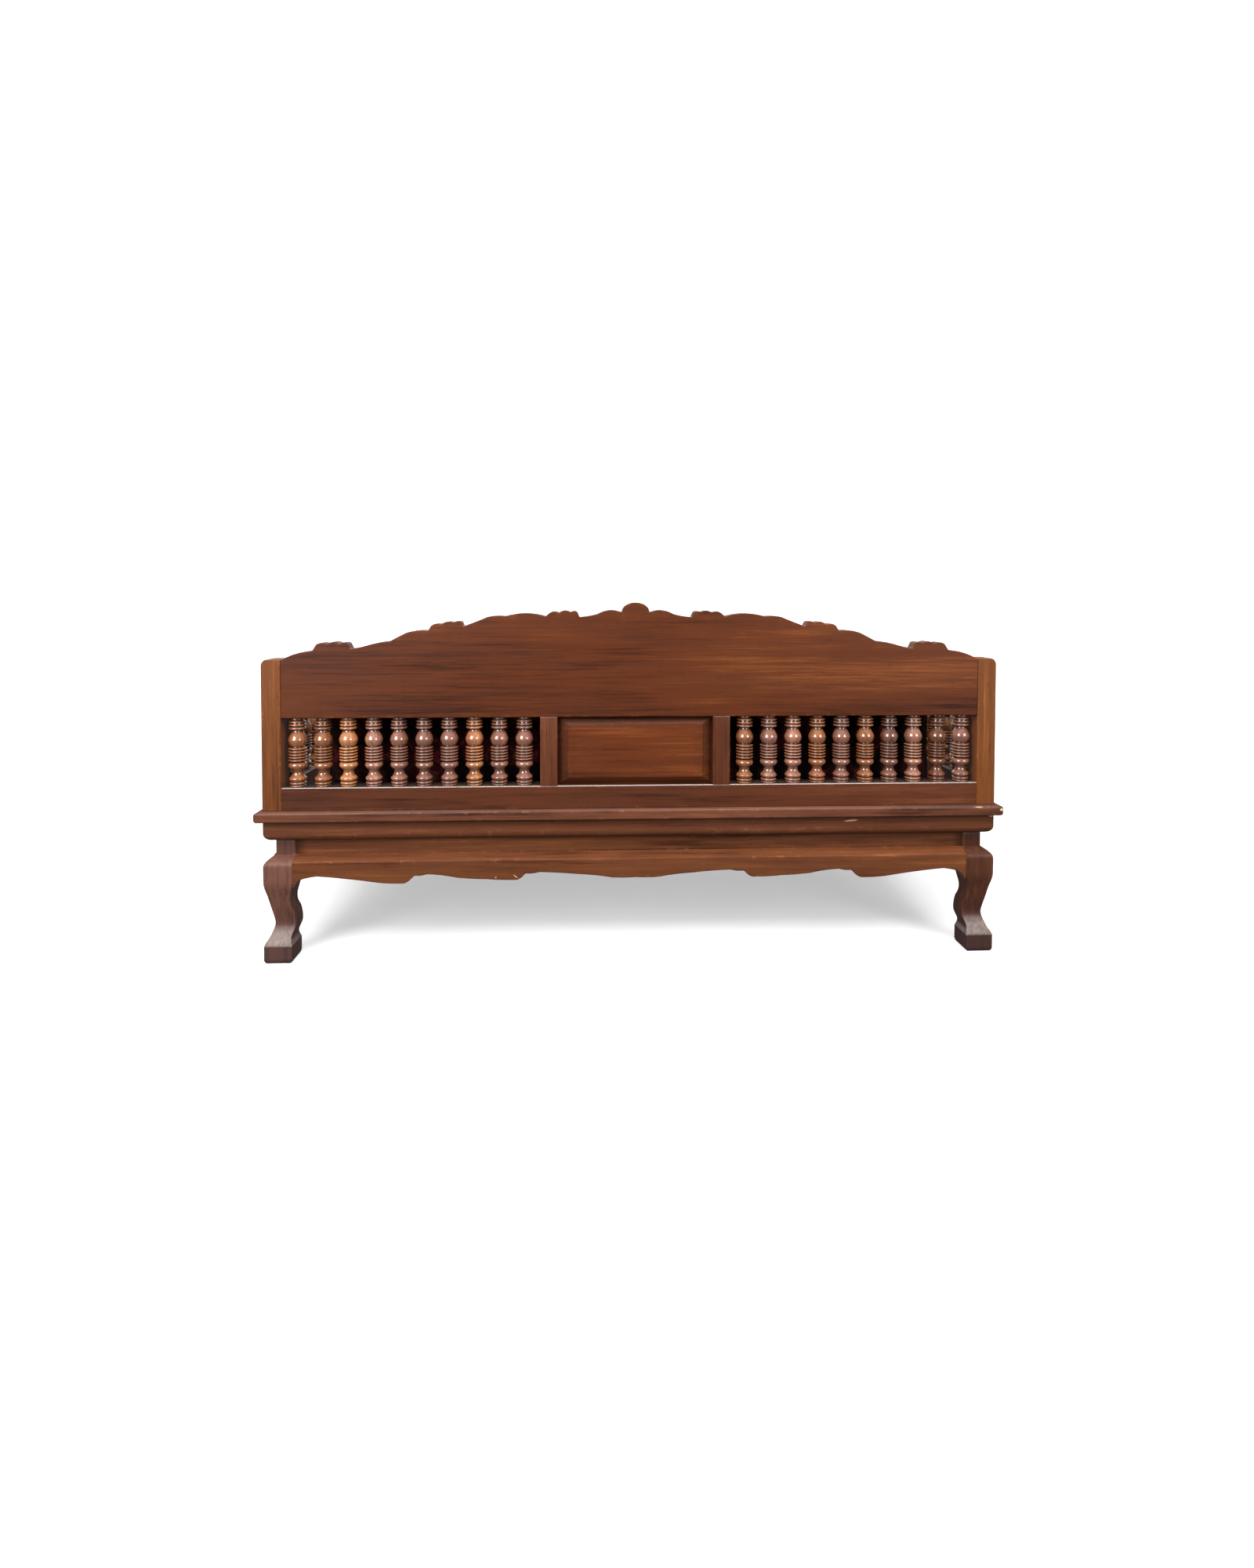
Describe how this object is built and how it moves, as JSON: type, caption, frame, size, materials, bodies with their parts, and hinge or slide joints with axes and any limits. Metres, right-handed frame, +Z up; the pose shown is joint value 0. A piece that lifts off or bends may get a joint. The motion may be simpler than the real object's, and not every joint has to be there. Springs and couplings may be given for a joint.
{
  "type": "bench",
  "caption": "Long settee bench with an undulating carved crest board, turned spindles beside a raised middle panel, arms, waisted base, cabriole legs and loose back cushions",
  "frame": {"origin": "on the floor under the middle of the seat", "axes": "+X along the seat (to the right when the bench is seen from behind), +Y towards the sitting front, +Z up"},
  "size_m": [2, 0.75, 0.956],
  "materials": {
    "leg_timber": "lacquered, satin",
    "base_timber": "lacquered, satin",
    "moulding_timber": "lacquered, satin",
    "seat_timber": "lacquered, satin",
    "post_timber": "lacquered, satin",
    "crest_timber": "lacquered, satin",
    "rail_timber": "lacquered, satin",
    "panel_timber": "lacquered, satin",
    "turned_timber": "lacquered, gloss",
    "dowel_wood": "bare",
    "screw_steel": "plain",
    "cushion_cloth": "woven"
  },
  "bodies": {
    "root": {"leg_rear_left": "leg_timber", "leg_rear_right": "leg_timber", "leg_front_left": "leg_timber", "leg_front_right": "leg_timber", "apron_rear": "base_timber", "apron_front": "base_timber", "apron_left": "base_timber", "apron_right": "base_timber", "neck_rail_rear": "base_timber", "neck_rail_front": "base_timber", "neck_rail_left": "base_timber", "neck_rail_right": "base_timber", "waist_moulding_rear": "moulding_timber", "waist_moulding_front": "moulding_timber", "waist_moulding_left": "moulding_timber", "waist_moulding_right": "moulding_timber", "seat_plank_rear": "seat_timber", "seat_plank_mid_rear": "seat_timber", "seat_plank_mid_front": "seat_timber", "seat_plank_front": "seat_timber", "seat_battens": "seat_timber", "rear_post_left": "post_timber", "rear_post_right": "post_timber", "crest_board": "crest_timber", "back_lower_rail": "rail_timber", "panel_stile_left": "rail_timber", "panel_stile_right": "rail_timber", "raised_panel": "panel_timber", "back_spindle_l01": "turned_timber", "back_spindle_l02": "turned_timber", "back_spindle_l03": "turned_timber", "back_spindle_l04": "turned_timber", "back_spindle_l05": "turned_timber", "back_spindle_l06": "turned_timber", "back_spindle_l07": "turned_timber", "back_spindle_l08": "turned_timber", "back_spindle_l09": "turned_timber", "back_spindle_l10": "turned_timber", "back_spindle_r01": "turned_timber", "back_spindle_r02": "turned_timber", "back_spindle_r03": "turned_timber", "back_spindle_r04": "turned_timber", "back_spindle_r05": "turned_timber", "back_spindle_r06": "turned_timber", "back_spindle_r07": "turned_timber", "back_spindle_r08": "turned_timber", "back_spindle_r09": "turned_timber", "back_spindle_r10": "turned_timber", "arm_post_left": "post_timber", "arm_post_right": "post_timber", "arm_board_left": "crest_timber", "arm_board_right": "crest_timber", "arm_lower_rail_left": "rail_timber", "arm_lower_rail_right": "rail_timber", "arm_spindles_left": "turned_timber", "arm_spindles_right": "turned_timber", "plank_dowels": "dowel_wood", "batten_screws": "screw_steel", "back_cushion_left": "cushion_cloth", "back_cushion_right": "cushion_cloth"}
  },
  "joints": []
}
